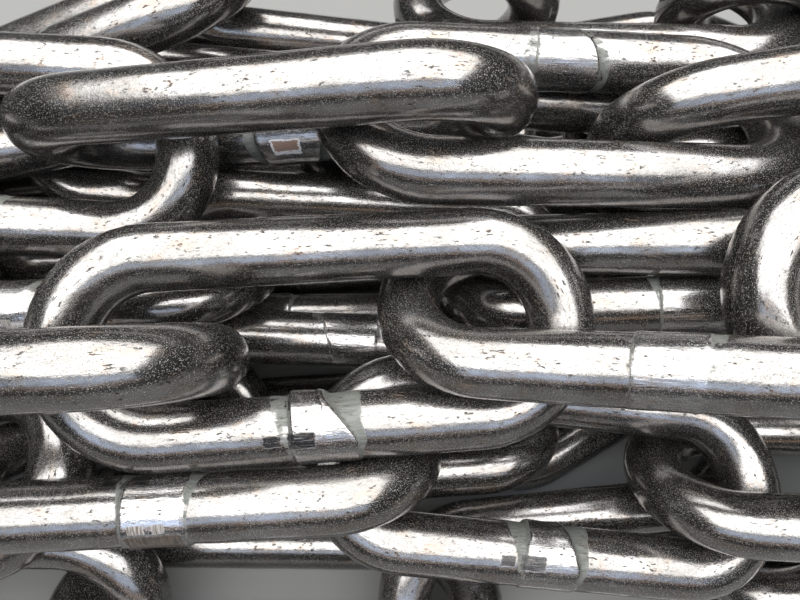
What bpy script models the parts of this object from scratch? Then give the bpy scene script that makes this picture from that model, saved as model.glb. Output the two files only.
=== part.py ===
"""Heap of long-link iron chain, lying loose on a level floor.

X runs to the right along the rows of chain, Y away from the front, Z up.
Every link is a separate closed ring of round bar. Seven lengths of chain make
the heap, laid one after the other. Each length is strung level along its route,
above what lies there already, every link starting in the end of the one before
it. Then it is let down: a link sinks while it bears on nothing, and links that
would run into each other push each other aside and turn, the upper one more than
the lower one.

Where a route turns sharply two neighbours can miss each other's openings, as they
are strung or while they sink. Five pairs do, and don't pass through one another:
floor_outer 04 and 05, floor_inner 03 and 04, second 04 and 05, 08 and 09, and 09
and 10. All other neighbours are linked.
"""
import math

import bpy
import numpy as np
from mathutils import Matrix

# The link. Its inside length is the pitch of the chain.
WIRE = 0.013
PITCH = 0.082
WIDTH = 0.047
# Air between two links that bear on each other, measured from bar to bar.
CLEARANCE = 0.0004
# How finely a link's mesh is cut: sides of the bar, steps round each end.
BAR_SIDES = 8
CROWN_STEPS = 8

CROWN_RADIUS = (WIDTH - WIRE) / 2
HALF_LEG = (PITCH + 2 * WIRE - WIDTH) / 2
TIP = HALF_LEG + CROWN_RADIUS
SPACING = WIRE + CLEARANCE
# From the bar's middle to one of its flats.
BAR_FLAT = WIRE / 2 * math.cos(math.pi / BAR_SIDES)

# Roughly how far out a link's weight lies when it turns end over end, as a share of
# its tip, and from that its radii of gyration about its long axis, across it and
# through its opening.
WEIGHT_REACH = 0.72
GYRATION = np.array([0.47, 1.0, 1.09]) * TIP * WEIGHT_REACH

# The routes are drawn in millimetres for a chain of this pitch, and grow with it.
DRAWN_PITCH = 82
DRAWN = PITCH / DRAWN_PITCH

# One entry for each length, in the order in which they are laid: how many links,
# how far each link hangs back from the end of the one before it, how the links
# lean, in degrees from lying flat, and the route in plan.
LENGTHS = {
    "floor_outer": (8, 3, (45, -45), [
        (-150, -47), (-60, -48), (40, -48), (100, -42), (142, -8), (145, 60), (105, 100),
        (30, 106), (-60, 106), (-150, 104)]),
    "floor_inner": (6, 4, (45, -45), [
        (-130, -9), (-60, -9), (20, -9), (75, 0), (98, 29), (75, 60), (20, 67), (-60, 67),
        (-130, 67)]),
    "second": (14, 6, (-45, 45, -45, -55, -12, -60, -12, -55, -45, 45, -45, 45, -45, 45), [
        (19, 29), (-30, 29), (-80, 29), (-120, 29), (-180, 25), (-220, 0), (-200, -35),
        (-140, -32), (-60, -28), (60, -28), (120, -27), (175, -10), (205, 30), (180, 75),
        (120, 86), (50, 86), (-50, 86), (-130, 88), (-170, 88)]),
    "third": (11, 8, (45, -45, 45, -45, 45, -45, 45, -45, 10, -60, 10), [
        (190, 22), (85, 21), (0, 24), (-85, 30), (-140, 18), (-200, 5), (-240, 30), (-205, 62),
        (-140, 54), (-85, 50), (0, 55), (85, 61), (160, 62), (190, 62)]),
    "back": (5, 14, (-60, 30), [
        (-190, 98), (-120, 84), (-50, 81), (60, 81), (140, 86), (210, 100)]),
    "front": (7, 17, (-60, 30), [
        (-249, -30), (-190, -16), (-130, -9), (-60, -8), (0, -6), (70, -4), (140, -10),
        (200, -23), (268, -43)]),
    "top": (6, 17, (-60, 25, -60, -6, -60, 20), [
        (-199, 24), (-150, 37), (-80, 38), (0, 39), (80, 40), (150, 36), (262, 26)]),
}
# How far above the heap a length is strung.
STRUNG_ABOVE = 0.045
# Points of a smooth route between two of its corners.
ROUTE_STEPS = 40

# A length is let down in quick steps and then in slow ones: how many, and how far
# a link sinks in each.
LET_DOWN = ((150, 0.0008), (150, 0.0004))
# After this many steps the links that are near each other are looked for again.
SEARCH_EVERY = 4
SEARCH_MARGIN = 0.010
# Times the links are pushed apart in each step, and at the end of each length.
PUSHES = 3
LAST_PUSHES = 150
# A link rests, and sinks no further, when it overlaps another by this much.
BEARING = 0.0004
# Height difference over which the lower of two links becomes the firmer one.
FIRMNESS = 0.008
# Share of an overlap that one push takes away. Where several links hit one, its
# share is divided by this much for each of them.
PUSH_SHARE = 0.6
HIT_SHARE = 0.4
# Smallest length that anything is divided by.
TINY = 1e-9
# The floor and the links below hold a sinking link to where and how it was strung:
# share by which it is drawn back in each step, and the most that this may turn it.
GRIP = 0.06
MOST_TURN = 0.02
# At the very end all links are pushed apart until no overlap is larger than this.
LEAST_OVERLAP = 0.00003
MOST_PUSHES = 400


def ring_points(crown_steps, leg_steps):
    """Centre line of a link about its own centre, as points in order round it."""
    right = [(HALF_LEG + CROWN_RADIUS * math.sin(math.pi * i / crown_steps),
              -CROWN_RADIUS * math.cos(math.pi * i / crown_steps), 0) for i in range(crown_steps)]
    top = [(HALF_LEG - 2 * HALF_LEG * i / leg_steps, CROWN_RADIUS, 0) for i in range(leg_steps)]
    return np.array(right + top + [(-x, -y, 0) for x, y, z in right + top])


# Points at which links are felt for contact while they sink, and in the end.
COARSE_RING = ring_points(14, 10)
FINE_RING = ring_points(24, 24)


def smooth_route(corners):
    """A smooth line through the corners, as close points."""
    ends = np.array([corners[0], *corners, corners[-1]])
    points = []
    for a, b, c, d in zip(ends, ends[1:], ends[2:], ends[3:]):
        for t in np.arange(0, 1, 1 / ROUTE_STEPS):
            points.append(0.5 * (2 * b + (c - a) * t + (2 * a - 5 * b + 4 * c - d) * t ** 2
                                 + (3 * b - a - 3 * c + d) * t ** 3))
    return np.array(points + [corners[-1]])


def leaning_axes(along, leans):
    """Axes of links: along each, across its opening, and square to both.

    A link with no lean has its opening across the heap, level. A lean raises the
    side that lies further back.
    """
    level = np.stack([-along[:, 1], along[:, 0], np.zeros(len(along))], axis=1)
    level *= (np.where(level[:, 1] < 0, -1, 1) / np.linalg.norm(level, axis=1))[:, None]
    rise = np.cross(along, level)
    rise *= np.where(rise[:, 2] < 0, -1, 1)[:, None]
    across = np.cos(leans)[:, None] * level + np.sin(leans)[:, None] * rise
    return np.stack([along, across, np.cross(along, across)], axis=1)


def string_links(count, hang, leans, corners, height):
    """Centres and axes of a length of links strung level along a route.

    Each link starts in the end of the one before it and points at the place on the
    route that is the right way further on. Past its end the route goes straight on.
    That links the two unless the route turns too sharply between them.
    """
    route = smooth_route(np.array(corners, float) * DRAWN)
    run = np.concatenate([[0], np.cumsum(np.linalg.norm(np.diff(route, axis=0), axis=1))])
    onward = (route[-1] - route[-2]) / np.linalg.norm(route[-1] - route[-2])
    route = np.concatenate([route, [route[-1] + onward * 2 * count * TIP]])
    run = np.append(run, run[-1] + 2 * count * TIP)
    step = 2 * TIP - SPACING - hang * DRAWN
    start = route[0]
    centres, along = [], []
    for number in range(count):
        aim = np.array([np.interp(number * step + 2 * TIP, run, route[:, k]) for k in (0, 1)])
        ahead = (aim - start) / np.linalg.norm(aim - start)
        centres.append([*(start + ahead * TIP), height])
        along.append([*ahead, 0])
        start = start + ahead * step
    return np.array(centres), leaning_axes(np.array(along), leans)


def turned(axes, turn):
    """Axes turned by small rotation vectors, and kept square."""
    axes = axes + np.cross(turn[:, None], axes)
    first = axes[:, 0] / np.linalg.norm(axes[:, 0], axis=1, keepdims=True)
    second = axes[:, 1] - (axes[:, 1] * first).sum(axis=1, keepdims=True) * first
    second /= np.linalg.norm(second, axis=1, keepdims=True)
    return np.stack([first, second, np.cross(first, second)], axis=1)


class Heap:
    """The links laid so far. Row n of each array belongs to link n."""

    def __init__(self):
        self.names = []
        self.centres = np.zeros((0, 3))
        self.axes = np.zeros((0, 3, 3))
        self.leans = np.zeros(0)
        self.still = np.zeros(0, bool)

    def add(self, name, centres, leans, axes):
        """Take in the links of one length, all free to move."""
        self.names += [f"{name}_{number + 1:02d}" for number in range(len(centres))]
        self.centres = np.concatenate([self.centres, centres])
        self.axes = np.concatenate([self.axes, axes])
        self.leans = np.concatenate([self.leans, leans])
        self.still = np.concatenate([self.still, np.zeros(len(centres), bool)])

    def nearest(self, lines, one, two):
        """For each pair, the point of the first link nearest to the second, and how far.

        Returns the distance between the two centre lines, the way from the second
        to the first, and the point on the first.
        """
        local = np.matmul(lines[one] - self.centres[two][:, None], self.axes[two].transpose(0, 2, 1))
        x = local[..., 0] - np.clip(local[..., 0], -HALF_LEG, HALF_LEG)
        y, z = local[..., 1], local[..., 2]
        radius = np.sqrt(x * x + y * y)
        distance = np.sqrt((radius - CROWN_RADIUS) ** 2 + z * z)
        best = distance.argmin(axis=1)
        row = np.arange(len(one))
        radius = np.maximum(radius[row, best], TINY)
        keep = (radius - CROWN_RADIUS) / radius
        away = np.stack([x[row, best] * keep, y[row, best] * keep, z[row, best]], axis=1)
        away = np.matmul(away[:, None], self.axes[two])[:, 0]
        return distance[row, best], away, lines[one, best]

    def near_pairs(self, ring):
        """All ordered pairs of links that may touch soon, of which one can move."""
        apart = np.linalg.norm(self.centres[:, None] - self.centres[None], axis=-1)
        np.fill_diagonal(apart, 1)
        one, two = np.nonzero(apart < 2 * TIP + SPACING + SEARCH_MARGIN)
        loose = ~(self.still[one] & self.still[two])
        one, two = one[loose], two[loose]
        lines = self.centres[:, None] + ring @ self.axes
        near = self.nearest(lines, one, two)[0] < SPACING + SEARCH_MARGIN
        return one[near], two[near]

    def lever(self, link, arm, way):
        """Turning that a unit push along way at arm gives each link, and its give there."""
        twist = np.cross(arm, way)
        local = np.matmul(self.axes[link], twist[:, :, None])[:, :, 0] / GYRATION ** 2
        turn = np.matmul(local[:, None], self.axes[link])[:, 0]
        return turn, 1 + (twist * turn).sum(axis=1)

    def push_apart(self, ring, one, two):
        """Push overlapping links apart once and lift them off the floor.

        Returns how much each link overlapped another.
        """
        count = len(self.centres)
        lines = self.centres[:, None] + ring @ self.axes
        distance, away, point = self.nearest(lines, one, two)
        touch = distance < SPACING
        one, two, point, away = one[touch], two[touch], point[touch], away[touch]
        way = away / np.maximum(distance[touch], TINY)[:, None]
        depth = SPACING - distance[touch]
        turn_one, give_one = self.lever(one, point - self.centres[one], way)
        turn_two, give_two = self.lever(two, point - away - self.centres[two], way)
        above = (self.centres[one, 2] - self.centres[two, 2]) / FIRMNESS
        ease = 1 / (1 + np.exp(-above))
        ease_one, ease_two = ease * ~self.still[one], (1 - ease) * ~self.still[two]
        push = depth / np.maximum(give_one * ease_one + give_two * ease_two, TINY)
        push_one, push_two = (push * ease_one)[:, None], (push * ease_two)[:, None]
        move, turn, hits = np.zeros((count, 3)), np.zeros((count, 3)), np.zeros(count)
        np.add.at(move, one, push_one * way)
        np.add.at(turn, one, push_one * turn_one)
        np.add.at(hits, one, 1)
        np.add.at(move, two, -push_two * way)
        np.add.at(turn, two, -push_two * turn_two)
        np.add.at(hits, two, 1)
        every = np.arange(count)
        up = np.tile([0.0, 0.0, 1.0], (count, 1))
        half = len(ring) // 2
        for first in (0, half):
            lowest = lines[:, first:first + half, 2].argmin(axis=1) + first
            low = lines[every, lowest]
            sunk = np.maximum(WIRE / 2 - low[:, 2], 0)
            turn_up, give = self.lever(every, low - self.centres, up)
            lift = (sunk / give)[:, None]
            move += lift * up
            turn += lift * turn_up
            hits += sunk > 0
        share = (PUSH_SHARE / np.maximum(hits * HIT_SHARE, 1) * ~self.still)[:, None]
        self.centres = self.centres + move * share
        self.axes = turned(self.axes, turn * share)
        overlap = np.zeros(count)
        np.maximum.at(overlap, one, depth * ~self.still[one])
        np.maximum.at(overlap, two, depth * ~self.still[two])
        return overlap

    def draw_back(self, home, heading, free):
        """Draw the free links back a little to where and how they were strung."""
        fall = self.axes[:, 0, 2]
        flat = np.sqrt(1 - fall ** 2)
        along = np.stack([heading[:, 0] * flat, heading[:, 1] * flat, fall], axis=1)
        turn = 0.5 * np.cross(self.axes, leaning_axes(along, self.leans)).sum(axis=1)
        length = np.linalg.norm(turn, axis=1, keepdims=True)
        turn *= np.minimum(GRIP * free[:, None], MOST_TURN / np.maximum(length, TINY))
        back = (home - self.centres) * (1, 1, 0)
        self.centres = self.centres + back * GRIP * free[:, None]
        self.axes = turned(self.axes, turn)

    def let_down(self):
        """Let the links that can move sink until they bear on what lies below."""
        home = self.centres.copy()
        heading = self.axes[:, 0, :2] / np.linalg.norm(self.axes[:, 0, :2], axis=1, keepdims=True)
        overlap = np.zeros(len(self.centres))
        for steps, sink in LET_DOWN:
            for step in range(steps):
                if step % SEARCH_EVERY == 0:
                    one, two = self.near_pairs(COARSE_RING)
                free = ~self.still & (overlap < BEARING)
                self.centres = self.centres - np.array([0, 0, sink]) * free[:, None]
                self.draw_back(home, heading, free)
                for _ in range(PUSHES):
                    overlap = self.push_apart(COARSE_RING, one, two)
        one, two = self.near_pairs(COARSE_RING)
        for _ in range(LAST_PUSHES):
            self.push_apart(COARSE_RING, one, two)

    def part_all(self):
        """Push all links apart until none overlap, felt finely."""
        one, two = self.near_pairs(FINE_RING)
        for _ in range(MOST_PUSHES):
            overlap = self.push_apart(FINE_RING, one, two)
            if overlap.max() < LEAST_OVERLAP:
                break


def lay_heap():
    """Lay all lengths of chain. The first link lies level on one flat of its lower leg."""
    heap = Heap()
    for name, (count, hang, leans, corners) in LENGTHS.items():
        leans = np.radians([leans[number % len(leans)] for number in range(count)])
        if heap.names:
            height = heap.centres[:, 2].max() + STRUNG_ABOVE
        else:
            height = BAR_FLAT + CROWN_RADIUS * math.sin(abs(leans[0]))
        centres, axes = string_links(count, hang, leans, corners, height)
        heap.add(name, centres, leans, axes)
        heap.still[0] = True
        heap.let_down()
        heap.still[:] = True
    heap.still[1:] = False
    heap.part_all()
    return heap


def link_mesh():
    """One link as a mesh: round bar along a closed line with straight legs and round ends.

    The bar is turned so that a link leaning half over rests on a flat, not on an edge.
    """
    curve = bpy.data.curves.new("link", "CURVE")
    curve.dimensions = "3D"
    curve.bevel_depth = WIRE / 2
    curve.bevel_resolution = (BAR_SIDES - 4) // 2
    line = ring_points(CROWN_STEPS, 1)
    spline = curve.splines.new("POLY")
    spline.points.add(len(line) - 1)
    for point, place in zip(spline.points, line):
        point.co = (*place, 1)
        point.tilt = math.pi / BAR_SIDES
    spline.use_cyclic_u = True
    guide = bpy.data.objects.new("link", curve)
    bpy.context.scene.collection.objects.link(guide)
    depsgraph = bpy.context.evaluated_depsgraph_get()
    mesh = bpy.data.meshes.new_from_object(guide.evaluated_get(depsgraph))
    bpy.data.objects.remove(guide)
    return mesh


def steel():
    """Dark lacquered steel, near black."""
    material = bpy.data.materials.new("lacquered_steel")
    material.use_nodes = True
    shader = material.node_tree.nodes["Principled BSDF"]
    shader.inputs["Base Color"].default_value = (0.03, 0.032, 0.036, 1)
    shader.inputs["Metallic"].default_value = 0.6
    shader.inputs["Roughness"].default_value = 0.3
    return material


def plan_middle(mesh, heap):
    """Middle of the heap's bounding box, seen from above."""
    shape = np.array([vertex.co for vertex in mesh.vertices])
    points = heap.centres[:, None] + shape @ heap.axes
    middle = (points.min(axis=(0, 1)) + points.max(axis=(0, 1))) / 2
    return np.array([middle[0], middle[1], 0])


def build():
    for old in list(bpy.data.objects):
        bpy.data.objects.remove(old, do_unlink=True)
    collection = bpy.data.collections.new("chain_heap")
    bpy.context.scene.collection.children.link(collection)
    heap = lay_heap()
    mesh = link_mesh()
    mesh.materials.append(steel())
    middle = plan_middle(mesh, heap)
    for name, centre, axes in zip(heap.names, heap.centres, heap.axes):
        body = mesh.copy()
        turn = Matrix([[*axis] for axis in axes]).transposed().to_4x4()
        body.transform(Matrix.Translation(centre - middle) @ turn)
        collection.objects.link(bpy.data.objects.new(name, body))


build()
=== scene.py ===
# %% [markdown]
# # A heap of long-link chain
#
# The object is a heap of dark, lacquered steel chain, lying loose. Each link is a
# length of round bar, bent to an oval and welded shut in the middle of one leg.
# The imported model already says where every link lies. This lesson dresses each
# one: it models a link with its weld, copies it to every place, and then builds
# the finish of the steel out of procedural patterns.

# %% Load the frame
import math
import random

import bpy
import numpy as np
from mathutils import Matrix, Vector, noise


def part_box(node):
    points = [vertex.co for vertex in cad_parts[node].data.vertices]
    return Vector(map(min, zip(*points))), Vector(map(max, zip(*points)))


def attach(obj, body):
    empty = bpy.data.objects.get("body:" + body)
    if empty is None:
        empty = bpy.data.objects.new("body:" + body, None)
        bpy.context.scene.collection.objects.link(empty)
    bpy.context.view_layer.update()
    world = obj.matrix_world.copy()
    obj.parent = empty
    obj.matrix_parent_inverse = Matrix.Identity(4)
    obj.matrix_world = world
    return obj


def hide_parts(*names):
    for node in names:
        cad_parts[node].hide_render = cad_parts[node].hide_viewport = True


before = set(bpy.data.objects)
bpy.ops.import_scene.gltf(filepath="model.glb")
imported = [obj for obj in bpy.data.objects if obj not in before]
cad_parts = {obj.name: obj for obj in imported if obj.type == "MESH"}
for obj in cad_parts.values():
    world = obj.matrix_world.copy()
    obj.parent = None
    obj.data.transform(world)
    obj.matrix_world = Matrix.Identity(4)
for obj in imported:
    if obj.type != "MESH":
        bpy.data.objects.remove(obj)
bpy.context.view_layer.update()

print("nodes:", len(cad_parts))

# %% [markdown]
# ## The sizes of a link
#
# The chain is 13 mm bar with openings 82 mm long and links 47 mm wide. The bar's
# middle line has two straight legs and two half-circle crowns.

# %% Sizes
MM = 0.001
WIRE = 13 * MM
PITCH = 82 * MM
WIDTH = 47 * MM
CROWN_RADIUS = (WIDTH - WIRE) / 2
HALF_LEG = (PITCH + 2 * WIRE - WIDTH) / 2
CROWN_RUN = math.pi * CROWN_RADIUS
BAR_RUN = 4 * HALF_LEG + 2 * CROWN_RUN
print("bar in one link:", round(BAR_RUN / MM), "mm")

# %% [markdown]
# ## Where each link lies
#
# A CAD link is an oval ring, so its corners spread furthest along it, less across
# it and least through its opening. The three main directions of that spread are
# the link's own axes. The signs are chosen so that a link always runs to the right
# and its opening points to the back, which puts the weld on the leg at the front,
# apart from the few links that are turned over below.


# %% Find a link's place
def link_place(node):
    """The matrix that takes a link modelled at the origin to where the CAD link lies."""
    corners = np.array([vertex.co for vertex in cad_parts[node].data.vertices])
    corners = np.unique(corners.round(6), axis=0)
    middle = (corners.min(axis=0) + corners.max(axis=0)) / 2
    directions = np.linalg.eigh(np.cov((corners - corners.mean(axis=0)).T))[1]
    along, across = directions[:, 2], directions[:, 1]
    along = along * (1 if along[0] > 0 else -1)
    across = across * (1 if across[1] > 0 else -1)
    turn = Matrix([along, across, np.cross(along, across)]).transposed().to_4x4()
    return Matrix.Translation(Vector(middle)) @ turn


# %% [markdown]
# ## Modelling one link
#
# By hand one would draw the round of the bar as a circle, extrude it along a leg,
# spin it half round for the crown, extrude the other leg, and spin it again. That
# is what the cell below does. It starts in the middle of the front leg, where the
# weld is: the bar's ends were heated and pressed together there and the bead was
# trimmed, which leaves a collar a little thicker than the bar, with a narrow sunk
# band at each side. So each extruded circle is also scaled there. The trimming tool
# reaches the outside of the link best, so the collar stands proud mostly inwards,
# and the point about which the circles are scaled lies towards the outside.

# %% Model a link by extruding and spinning a circle
BAR_SIDES = 40
CROWN_STEPS = 22
LEG_STEPS = 16
# Distance from the weld's middle and how far the bar stands proud there, in mm.
WELD_PROFILE = [(0, 0.38), (1.5, 0.42), (3.0, 0.47), (4.2, 0.50), (4.9, 0.53), (5.3, 0.42),
                (5.6, 0.10), (5.9, -0.10), (6.4, -0.14), (7.2, -0.12), (8.0, -0.03), (9.0, 0.0)]
# Share of the collar's height that moves it inwards.
INWARD = 0.5


def swell(proud):
    """Scale of a circle of bar that stands proud by some millimetres."""
    return 1 + proud * MM / (WIRE / 2)


def extrude_ring(step, growth=1, middle=None):
    """Extrude the selected circle along X, then scale it about a point."""
    bpy.ops.mesh.extrude_region_move(TRANSFORM_OT_translate={"value": (step, 0, 0)})
    if growth != 1:
        bpy.ops.transform.resize(value=(1, growth, growth), center_override=middle)


def extrude_half_leg(stations, side):
    """Extrude the welded leg from station to station, on one side of the weld."""
    for (before, proud_before), (after, proud_after) in zip(stations, stations[1:]):
        extrude_ring(side * (after - before) * MM, swell(proud_after) / swell(proud_before),
                     (side * after * MM, -CROWN_RADIUS - INWARD * WIRE / 2, 0))


def model_link(name):
    """A link at the origin, its weld in the middle of the front leg."""
    plain = np.linspace(WELD_PROFILE[-1][0], HALF_LEG / MM, LEG_STEPS // 2)[1:]
    stations = WELD_PROFILE + [(far, 0.0) for far in plain]
    bpy.ops.object.select_all(action="DESELECT")
    proud = stations[0][1]
    bpy.ops.mesh.primitive_circle_add(vertices=BAR_SIDES, radius=WIRE / 2 * swell(proud),
                                      location=(0, -CROWN_RADIUS + INWARD * proud * MM, 0),
                                      rotation=(0, math.pi / 2, 0))
    link = bpy.context.object
    link.name = name
    bpy.ops.object.transform_apply(location=True, rotation=True, scale=True)
    bpy.ops.object.mode_set(mode="EDIT")
    bpy.ops.mesh.select_all(action="SELECT")
    extrude_half_leg(stations, 1)
    bpy.ops.mesh.spin(steps=CROWN_STEPS, angle=-math.pi, center=(HALF_LEG, 0, 0), axis=(0, 0, 1))
    for _ in range(LEG_STEPS):
        extrude_ring(-2 * HALF_LEG / LEG_STEPS)
    bpy.ops.mesh.spin(steps=CROWN_STEPS, angle=-math.pi, center=(-HALF_LEG, 0, 0), axis=(0, 0, 1))
    extrude_half_leg(stations[::-1], -1)
    bpy.ops.mesh.select_all(action="SELECT")
    bpy.ops.mesh.remove_doubles(threshold=0.02 * MM)
    bpy.ops.mesh.normals_make_consistent(inside=False)
    bpy.ops.object.mode_set(mode="OBJECT")
    bpy.ops.object.shade_smooth()
    return link


master = model_link("link_master")
print("faces in a link:", len(master.data.polygons), "size", [round(v / MM, 1) for v in master.dimensions])

# %% [markdown]
# ## A map of the bar
#
# The marks of the weld, the rolling streaks and the dust have to follow the bar
# round the oval, wherever the link lies. So every corner of the mesh keeps two
# positions as attributes: its place in the link's own frame, and its place on the
# bar if it were straightened, which is how far along, how far outwards and how far
# up from the bar's middle line. They are read off before the link is moved. Going
# once round, the place along the bar has to jump back somewhere, and a pattern is
# squeezed across the one ring of faces where it does. So the jump is put in the
# narrow groove at the collar's left edge, where nothing shows.


# %% Write the map as attributes
# The groove, which lies between two of the weld profile's distances.
JUMP = -5.75 * MM


def bar_map(points):
    """Places on the straightened bar, in mm, of points in the link's own frame."""
    x, y, z = points.T
    beyond = x - np.clip(x, -HALF_LEG, HALF_LEG)
    reach = np.hypot(beyond, y)
    round_crown = CROWN_RADIUS * np.arctan2(np.abs(beyond), -y)
    front = np.where(np.abs(x) > HALF_LEG, HALF_LEG + round_crown, np.abs(x))
    back = 2 * HALF_LEG + CROWN_RUN - np.abs(x)
    run = np.where((np.abs(x) <= HALF_LEG) & (y > 0), back, front)
    run = np.where(x < 0, BAR_RUN - run, run)
    run = np.where((y < 0) & (x < 0) & (x > JUMP), x, run)
    return np.stack([run, reach - CROWN_RADIUS, z], axis=1) / MM


def keep_map(mesh):
    """Store the link's own places and the bar's places on the mesh's corners."""
    points = np.array([vertex.co for vertex in mesh.vertices])
    for name, values in (("own_place", points / MM), ("bar_place", bar_map(points))):
        attribute = mesh.attributes.new(name, "FLOAT_VECTOR", "POINT")
        attribute.data.foreach_set("vector", values.astype(np.float32).ravel())


keep_map(master.data)
print("map kept on", len(master.data.vertices), "corners")

# %% [markdown]
# ## Laying the links
#
# Each CAD link is replaced by a copy of the modelled one, moved to the same place.
# The trimming cut across every weld at its own slant, so each copy's collar is
# slanted a little differently, and mostly on its inner half. No link is quite
# straight or round either: its bar waves by a tenth of a millimetre, which is what
# makes the long highlights waver. Welds differ from link to link too: some are
# trimmed almost flush, and some have lost their dull bands or clamp marks.

# %% Copy the link to every place
SEED = 11
COLLAR_REACH = 12
MOST_SLANT = 0.5
WAVE = 0.09
WAVE_SIZE = 7
# How far outwards from the bar's middle the slant goes on, and how near the weld's
# middle it fades out, in mm.
SLANT_STOPS = 1.5
SLANT_FADES = 4
# Links whose weld is on the leg at the back, as link_place takes back and front.
WELD_AT_BACK = {"top_03", "top_04", "front_03", "second_09", "back_04"}
# The link in the middle of the picture, whose weld is slanted one way.
MIDDLE_LINK = "front_04"
MIDDLE_SLANTS = (0.1, 0.75)
# How proud the collar is, and how strong are its left band, right band and clamp
# marks, on the welds that the picture shows best. A strength of 2 for the clamp marks
# also bares a small square of steel on the inner side. The last weld is hidden, and is
# trimmed low so that it doesn't cut into the link above it.
SEEN_WELDS = {"front_04": (1.0, 0.35, 1.0, 1.0), "second_06": (0.8, 0.9, 1.0, 1.0),
              "second_07": (0.8, 0.5, 0.7, 0.5), "front_05": (0.3, 0.3, 0.4, 0.0),
              "top_03": (0.9, 1.0, 1.0, 2.0), "top_04": (0.5, 0.3, 0.3, 0.0),
              "third_03": (0.2, 0.0, 0.1, 0.0), "floor_inner_02": (0.1, 0.5, 0.5, 0.5)}


def lower_collar(mesh, height):
    """Leave only a share of the height by which the collar and its bands differ from the bar."""
    for vertex in mesh.vertices:
        x, y, z = vertex.co
        if y < 0 and abs(x) < COLLAR_REACH * MM:
            reach = math.hypot(y + CROWN_RADIUS, z)
            scale = (WIRE / 2 + (reach - WIRE / 2) * height) / reach
            vertex.co = (x, -CROWN_RADIUS + (y + CROWN_RADIUS) * scale, z * scale)


def slant_collar(mesh, left, right):
    """Shear the collar's two edges along the bar, less towards its reach and its middle."""
    for vertex in mesh.vertices:
        x, y, z = vertex.co
        if y < 0 and abs(x) < COLLAR_REACH * MM:
            share = min(1.0, 2 * (1 - abs(x) / (COLLAR_REACH * MM)))
            slant = right if x > 0 else left
            near = min(1.0, abs(x) / (SLANT_FADES * MM))
            vertex.co.x -= share * near * slant * max(y + CROWN_RADIUS, -SLANT_STOPS * MM)


def wave_surface(mesh, toss):
    """Move the surface in and out a little, in slow waves."""
    moved = []
    for vertex in mesh.vertices:
        place = vertex.co / (WAVE_SIZE * MM) + toss
        moved.append(vertex.co + vertex.normal * noise.noise(place) * WAVE * MM)
    for vertex, place in zip(mesh.vertices, moved):
        vertex.co = place


def keep_same(mesh, name, kind, field, value):
    """Store one value on all corners of a mesh."""
    attribute = mesh.attributes.new(name, kind, "POINT")
    values = np.tile(np.array(value, np.float32), len(mesh.vertices))
    attribute.data.foreach_set(field, values)


def lay_link(node, dice):
    """A finished copy of the link in the place of a CAD node."""
    mesh = master.data.copy()
    slants = [dice.uniform(-MOST_SLANT, MOST_SLANT) for _ in range(2)]
    if node == MIDDLE_LINK:
        slants = MIDDLE_SLANTS
    looks = SEEN_WELDS.get(node, [dice.random() for _ in range(4)])
    lower_collar(mesh, looks[0])
    slant_collar(mesh, *slants)
    wave_surface(mesh, Vector([dice.uniform(-50, 50) for _ in range(3)]))
    keep_same(mesh, "link_tone", "FLOAT", "value", [dice.random()])
    keep_same(mesh, "weld_marks", "FLOAT_VECTOR", "vector", looks[1:])
    if node in WELD_AT_BACK:
        mesh.transform(Matrix.Rotation(math.pi, 4, "X"))
    mesh.transform(link_place(node))
    for vertex in mesh.vertices:
        vertex.co.z = max(vertex.co.z, 0)
    piece = bpy.data.objects.new("steel_" + node, mesh)
    bpy.context.scene.collection.objects.link(piece)
    mesh.materials.append(steel)
    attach(piece, "root")
    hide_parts(node)
    return piece


# %% [markdown]
# ## Shader maths
#
# A finish is a net of nodes, and most of them only add, multiply and compare. The
# class below wraps a socket so that such steps can be written as plain sums. One
# method adds any other node, from its type, its settings and its sockets' values.


# %% A small class for shader maths
class Signal:
    """A shader socket that can be used in a sum."""

    def __init__(self, finish, socket):
        self.finish = finish
        self.socket = socket

    def maths(self, operation, first, second):
        return self.finish.node("ShaderNodeMath", {"operation": operation}, {0: first, 1: second})

    def __add__(self, other):
        return self.maths("ADD", self, other)

    def __sub__(self, other):
        return self.maths("SUBTRACT", self, other)

    def __rsub__(self, other):
        return self.maths("SUBTRACT", other, self)

    def __mul__(self, other):
        return self.maths("MULTIPLY", self, other)

    def __abs__(self):
        return self.maths("ABSOLUTE", self, 0.0)

    def most(self, other):
        return self.maths("MAXIMUM", self, other)

    def rises(self, start, end):
        """0 up to start, 1 from end on, with a smooth step between."""
        return self.finish.node("ShaderNodeMapRange", {"interpolation_type": "SMOOTHSTEP"},
                                {"Value": self, "From Min": start, "From Max": end})

    def within(self, low, high, soft):
        """1 between low and high, falling to 0 over a soft edge outside."""
        return self.rises(low - soft, low) * (1 - self.rises(high, high + soft))

    __radd__ = __add__
    __rmul__ = __mul__


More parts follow.
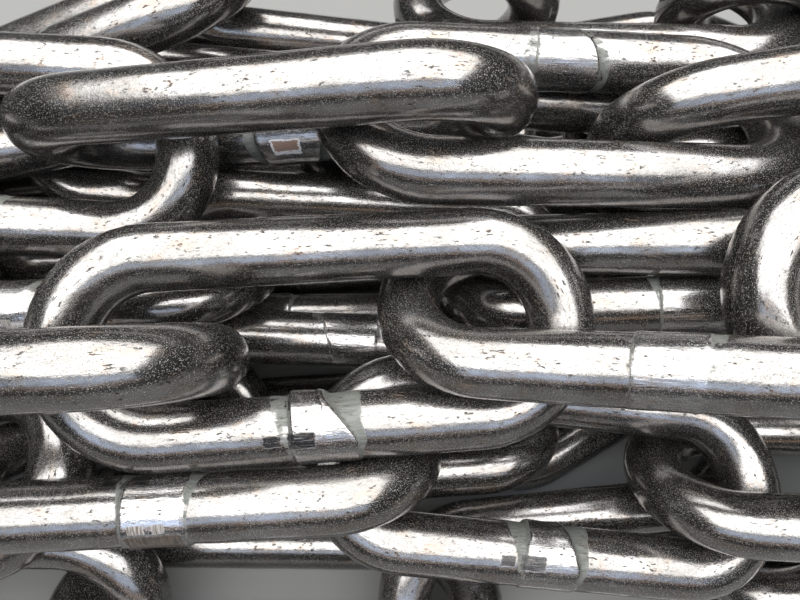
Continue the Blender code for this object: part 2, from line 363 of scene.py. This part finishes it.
class Finish:
    """A material while it is being built."""

    def __init__(self, name):
        self.material = bpy.data.materials.new(name)
        self.material.use_nodes = True
        self.tree = self.material.node_tree
        self.shader = self.tree.nodes["Principled BSDF"]

    def node(self, kind, settings=None, sockets=None, output=0):
        """Add a node and give back one of its outputs."""
        node = self.tree.nodes.new(kind)
        for name, value in (settings or {}).items():
            setattr(node, name, value)
        for name, value in (sockets or {}).items():
            self.feed(node.inputs[name], value)
        return Signal(self, node.outputs[output])

    def feed(self, socket, value):
        """Link a signal to a socket, or set the socket's value."""
        if isinstance(value, Signal):
            self.tree.links.new(value.socket, socket)
        else:
            socket.default_value = value

    def attribute(self, name, output="Vector"):
        return self.node("ShaderNodeAttribute", {"attribute_name": name}, output=output)

    def parts(self, vector):
        """The three parts of a vector."""
        first = self.node("ShaderNodeSeparateXYZ", None, {0: vector})
        outputs = first.socket.node.outputs
        return [Signal(self, outputs[index]) for index in range(3)]

    def stretched(self, vector, scale, shift):
        """A vector multiplied by a scale in each direction and moved by a shift."""
        return self.node("ShaderNodeVectorMath", {"operation": "MULTIPLY_ADD"},
                         {0: vector, 1: scale, 2: shift})

    def noise(self, vector, detail=2.0, roughness=0.5):
        return self.node("ShaderNodeTexNoise", None,
                         {"Vector": vector, "Scale": 1.0, "Detail": detail, "Roughness": roughness})

    def mix(self, share, colour, other):
        return self.node("ShaderNodeMix", {"data_type": "RGBA"}, {0: share, 6: colour, 7: other}, 2)


# %% [markdown]
# ## The marks of the weld
#
# The trimmed collar is bare and a little brighter, with fine scores along the bar.
# Just outside it the bar sank in and lost its gloss, in a narrow grey-green band
# that is widest on the inner side. The clamps of the welding machine pressed two
# dark squares into the flat side. The outer side was trimmed to a bright facet,
# with a brown patch below it that is scored across the bar. One weld has lost a
# square of its scale, which leaves brown steel with a bright rim. Every mark is a box
# of soft edges in the link's own millimetres, so it stays on the weld of any copy.

# %% Draw the weld's marks
BAND_GREY = (0.062, 0.071, 0.062, 1)
BAND_DARK = (0.028, 0.03, 0.027, 1)
TRIM_BRIGHT = (0.36, 0.36, 0.37, 1)
SCORED_BROWN = (0.014, 0.009, 0.006, 1)
SCORED_LIGHT = (0.07, 0.047, 0.033, 1)
PIT_BLACK = (0.012, 0.012, 0.013, 1)
MARK_YELLOW = (0.05, 0.033, 0.016, 1)
BARE_BROWN = (0.15, 0.098, 0.075, 1)
RIM_BRIGHT = (0.42, 0.42, 0.43, 1)
BAND_START = 5.5
BAND_END = 7.4
# How much wider the band gets for each millimetre inwards.
BAND_WIDENS = 0.28
# Places of marks in mm, each from and to: along the bar from the weld's middle, then
# outwards to inwards or up from the bar's middle.
LARGE_SQUARE = ((-6.2, -1.5), (-2.2, 0.4))
SMALL_SQUARE = ((-10.4, -7.8), (-1.7, 0.0))
PATCH_RUN = (-4.7, 4.6)
LEFT_MARK_RUN = (-4.0, -1.7)
RIGHT_MARK_RUN = (-0.2, 1.8)
SCORED_UP = (-5.2, -1.5)
FACET_UP = (-1.1, 3.2)
MARKS_UP = (-0.6, 0.8)
RIM_BOX = ((-2.5, 1.7), (2.5, 5.3))
BARE_BOX = ((-2.2, 1.4), (2.7, 4.7))


def weld_masks(steel, blotch, streak, shift):
    """Where each mark of the weld is, and the relief of its scores."""
    x, y, z = steel.parts(steel.attribute("own_place"))
    left, right, pressed = steel.parts(steel.attribute("weld_marks"))
    inwards = y + CROWN_RADIUS / MM
    on_leg = (y * -1.0).rises(8.0, 9.5)
    far = abs(x) + (blotch - 0.5) * 1.6
    collar = (1 - far.rises(5.1, 5.5)) * on_leg
    end = BAND_END + inwards * BAND_WIDENS
    band = far.rises(BAND_START - 0.2, BAND_START) * (1 - (far - end).rises(0.0, 0.35))
    strength = left + (right - left) * x.rises(-1.0, 1.0)
    worn = (blotch + strength * 0.26 + streak * 0.3 + inwards * 0.012).rises(0.7, 0.84)
    flat_side = abs(z).rises(2.0, 3.0)
    outer_side = (inwards * -1.0).rises(2.5, 3.5)
    # Places drawn a little astray by the streaks give the marks ragged edges.
    run = x + (streak - 0.5) * 1.1
    width = inwards + (streak - 0.5) * 0.9
    large = run.within(*LARGE_SQUARE[0], 0.3) * width.within(*LARGE_SQUARE[1], 0.3)
    small = run.within(*SMALL_SQUARE[0], 0.35) * width.within(*SMALL_SQUARE[1], 0.3)
    patch = run.within(*PATCH_RUN, 0.2) * outer_side * pressed.rises(0.3, 0.5)
    marks = run.within(*LEFT_MARK_RUN, 0.25).most(run.within(*RIGHT_MARK_RUN, 0.25))
    along = steel.noise(steel.stretched(steel.attribute("own_place"), (0.25, 3.4, 3.4), shift), 3.0)
    across = steel.noise(steel.stretched(steel.attribute("own_place"), (3.8, 0.3, 0.3), shift), 3.0)
    up = z + (blotch - 0.5) * 2.0
    brown = patch * up.within(*SCORED_UP, 0.4)
    squares = large.most(small) * flat_side * on_leg * pressed.rises(0.25, 0.6)
    chipped = inwards.rises(3.0, 3.6) * on_leg * pressed.rises(1.2, 1.6)
    high = z + (streak - 0.5) * 1.2
    rim = run.within(*RIM_BOX[0], 0.15) * high.within(*RIM_BOX[1], 0.2) * chipped
    bare = run.within(*BARE_BOX[0], 0.12) * high.within(*BARE_BOX[1], 0.12) * chipped
    return {"bands": band * on_leg * worn, "collar": collar, "brown": brown, "squares": squares,
            "facet": patch * up.within(*FACET_UP, 0.3), "yellow": patch * marks * up.within(*MARKS_UP, 0.3),
            "scores": along, "crossed": across.rises(0.4, 0.6), "rim": rim, "bare": bare,
            "relief": collar * along * 0.035 + brown * across * 0.08 - squares * 0.05}


def weld_colours(steel, colour, weld):
    """Lay the colours of the weld's marks over the scale's."""
    colour = steel.mix(weld["collar"] * weld["scores"].rises(0.3, 0.7) * 0.5, colour, TRIM_BRIGHT)
    colour = steel.mix(weld["facet"] * 0.9, colour, TRIM_BRIGHT)
    band = steel.mix(weld["scores"].rises(0.35, 0.6), BAND_DARK, BAND_GREY)
    colour = steel.mix(weld["bands"] * 0.85, colour, band)
    scored = steel.mix(weld["crossed"], SCORED_BROWN, SCORED_LIGHT)
    colour = steel.mix(weld["brown"] * 0.9, colour, scored)
    colour = steel.mix(weld["yellow"] * (0.9 - weld["crossed"] * 0.5), colour, MARK_YELLOW)
    colour = steel.mix(weld["squares"] * (1 - weld["scores"].rises(0.5, 0.7) * 0.4), colour, PIT_BLACK)
    return steel.mix(weld["bare"], steel.mix(weld["rim"], colour, RIM_BRIGHT), BARE_BROWN)


# %% [markdown]
# ## The steel
#
# The chain is sold in its own colour: dark mill scale under a thin clear lacquer.
# So the body is a dark metal with a coat over it. It mirrors little, which is why
# the bars are white where they face the light and near black where they don't.
# Drawing the bar left small pits and waves that follow it round the link, so their
# pattern reads the straightened bar, squeezed along its length. Dust has settled in
# pale grains, and here and there the lacquer is thin and the steel looks brown.

# %% Build the dark lacquered steel
SCALE_DARK = (0.122, 0.116, 0.111, 1)
SCALE_LIGHT = (0.187, 0.183, 0.182, 1)
SCALE_BROWN = (0.15, 0.113, 0.087, 1)
STREAK_BLACK = (0.05, 0.044, 0.04, 1)
DUST_PALE = (0.14, 0.132, 0.115, 1)
RUST_BROWN = (0.04, 0.019, 0.009, 1)


def lacquered_steel():
    """The one finish of all links, with the weld's marks in it."""
    steel = Finish("dark_lacquered_steel")
    tone = steel.attribute("link_tone", "Fac")
    shift = steel.node("ShaderNodeCombineXYZ", None, {0: tone * 97.0, 1: tone * 53.0, 2: tone * 31.0})
    bar = steel.attribute("bar_place")

    rolled = steel.noise(steel.stretched(bar, (0.10, 0.22, 0.22), shift), 3.0)
    blotch = steel.noise(steel.stretched(bar, (0.20, 0.34, 0.34), shift), 5.0, 0.62)
    streak = steel.noise(steel.stretched(bar, (0.75, 1.9, 1.9), shift), 4.0, 0.6)
    grain = steel.noise(steel.stretched(bar, (3.6, 4.5, 4.5), shift), 2.0)
    flecks = steel.noise(steel.stretched(bar, (6.5, 7.0, 7.0), shift), 1.0)
    weld = weld_masks(steel, blotch, streak, shift)

    thin = blotch.rises(0.5, 0.7)
    pits = streak.rises(0.615, 0.65) * blotch.rises(0.44, 0.56)
    dust = flecks.rises(0.61, 0.67) * grain.rises(0.4, 0.58)
    rust = (blotch * streak).rises(0.38, 0.43)

    colour = steel.mix(rolled.rises(0.35, 0.7), SCALE_DARK, SCALE_LIGHT)
    colour = steel.mix(thin * 0.55, colour, SCALE_BROWN)
    colour = steel.mix(streak.rises(0.5, 0.64) * 0.26, colour, STREAK_BLACK)
    colour = weld_colours(steel, colour, weld)
    colour = steel.mix(pits * 0.9, colour, PIT_BLACK)
    colour = steel.mix(rust * 0.8, colour, RUST_BROWN)
    colour = steel.mix(dust * 0.8, colour, DUST_PALE)

    dull = (weld["bands"] * 0.9).most(weld["brown"] * 0.5).most(weld["yellow"] * 0.8)
    dull = dull.most(dust).most(rust).most(weld["rim"] * 0.9)
    rough = dull.most(weld["squares"] * 0.8)
    steel.feed(steel.shader.inputs["Base Color"], colour)
    steel.feed(steel.shader.inputs["Metallic"], 0.97 - dull * 0.8)
    roughness = 0.11 + streak * 0.12 + blotch * 0.06 + rough * 0.5 - weld["facet"] * 0.06
    steel.feed(steel.shader.inputs["Roughness"], roughness)
    steel.feed(steel.shader.inputs["Coat Weight"], (1 - rough.most(pits)) * 0.4)
    steel.shader.inputs["Coat Roughness"].default_value = 0.1
    height = rolled * 0.08 + blotch * 0.075 + streak * 0.023 + grain * 0.006
    height = height + dust * 0.03 - pits * 0.06 + weld["relief"]
    bump = steel.node("ShaderNodeBump", None, {"Strength": 1.0, "Distance": MM, "Height": height})
    steel.feed(steel.shader.inputs["Normal"], bump)
    return steel.material


steel = lacquered_steel()
print("nodes in the finish:", len(steel.node_tree.nodes))

# %% [markdown]
# The CAD nodes are hidden by the copies. Every copy draws its slants and waves from
# one seeded dice, so the heap is the same each time.

# %% Lay all links
dice = random.Random(SEED)
pieces = [lay_link(node, dice) for node in sorted(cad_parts)]
bpy.data.objects.remove(master)
print("links laid:", len(pieces), "faces:", sum(len(piece.data.polygons) for piece in pieces))

# %% [markdown]
# ## Floor, light and camera
#
# The heap lies on a plain pale floor. A bar mirrors what lies round it from top to
# bottom, so the light is set out as bands. A wide soft box overhead gives every bar
# its broad white highlight. A cooler one in front of it gives the blue-grey edge
# below that, and a low warm one the thin brown line. The rest is dark, and so are
# the upper and lower edges of every bar.

# %% Floor
PALE_GREY = (0.105, 0.105, 0.103, 1)
bpy.ops.object.select_all(action="DESELECT")
bpy.ops.mesh.primitive_plane_add(size=4)
floor = bpy.context.object
floor.name = "floor"
paper = Finish("pale_floor")
paper.shader.inputs["Base Color"].default_value = PALE_GREY
paper.shader.inputs["Roughness"].default_value = 0.9
floor.data.materials.append(paper.material)


# %% Lights
def soft_box(name, place, target, size, brightness, colour):
    """A rectangular area light at a place, facing a target, of a given surface brightness."""
    data = bpy.data.lights.new(name, "AREA")
    data.shape = "RECTANGLE"
    data.size, data.size_y = size
    data.energy = brightness * math.pi * size[0] * size[1]
    data.color = colour
    box = bpy.data.objects.new(name, data)
    bpy.context.scene.collection.objects.link(box)
    box.location = place
    box.rotation_euler = (Vector(target) - Vector(place)).to_track_quat("-Z", "Y").to_euler()


soft_box("overhead_box", (0, 0.02, 1.05), (0, 0.02, 0), (2.0, 1.85), 8.4, (1.0, 0.995, 0.98))
soft_box("front_box", (0, -1.2, 0.84), (0, 0, 0.05), (2.0, 0.42), 3.0, (0.66, 0.78, 1.0))
soft_box("low_box", (0, -1.3, 0.52), (0, 0, 0.05), (2.0, 0.14), 1.3, (1.0, 0.7, 0.48))
world = bpy.data.worlds.new("studio")
world.use_nodes = True
world.node_tree.nodes["Background"].inputs["Color"].default_value = (0.9, 0.94, 1.0, 1)
world.node_tree.nodes["Background"].inputs["Strength"].default_value = 0.05
bpy.context.scene.world = world
# The picture has a plain camera's contrast, with clean whites and deep darks.
bpy.context.scene.view_settings.view_transform = "Standard"

# %% Camera at the picture's viewing angle
VIEW_WIDTH = 800
FOCAL_PIXELS = 590
ELEVATION = math.radians(60)
DISTANCE = 113 * MM
lowest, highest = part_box(MIDDLE_LINK)
to_camera = Vector((0, -math.cos(ELEVATION), math.sin(ELEVATION)))
up = Vector((0, math.sin(ELEVATION), math.cos(ELEVATION)))
target = (lowest + highest) / 2 + Vector((15.5 * MM, 0, 0)) + up * 7.3 * MM
data = bpy.data.cameras.new("camera")
data.lens = FOCAL_PIXELS / VIEW_WIDTH * data.sensor_width
data.clip_start = 0.005
camera = bpy.data.objects.new("camera", data)
bpy.context.scene.collection.objects.link(camera)
camera.location = target + to_camera * DISTANCE
camera.rotation_euler = to_camera.to_track_quat("Z", "Y").to_euler()
bpy.context.scene.camera = camera
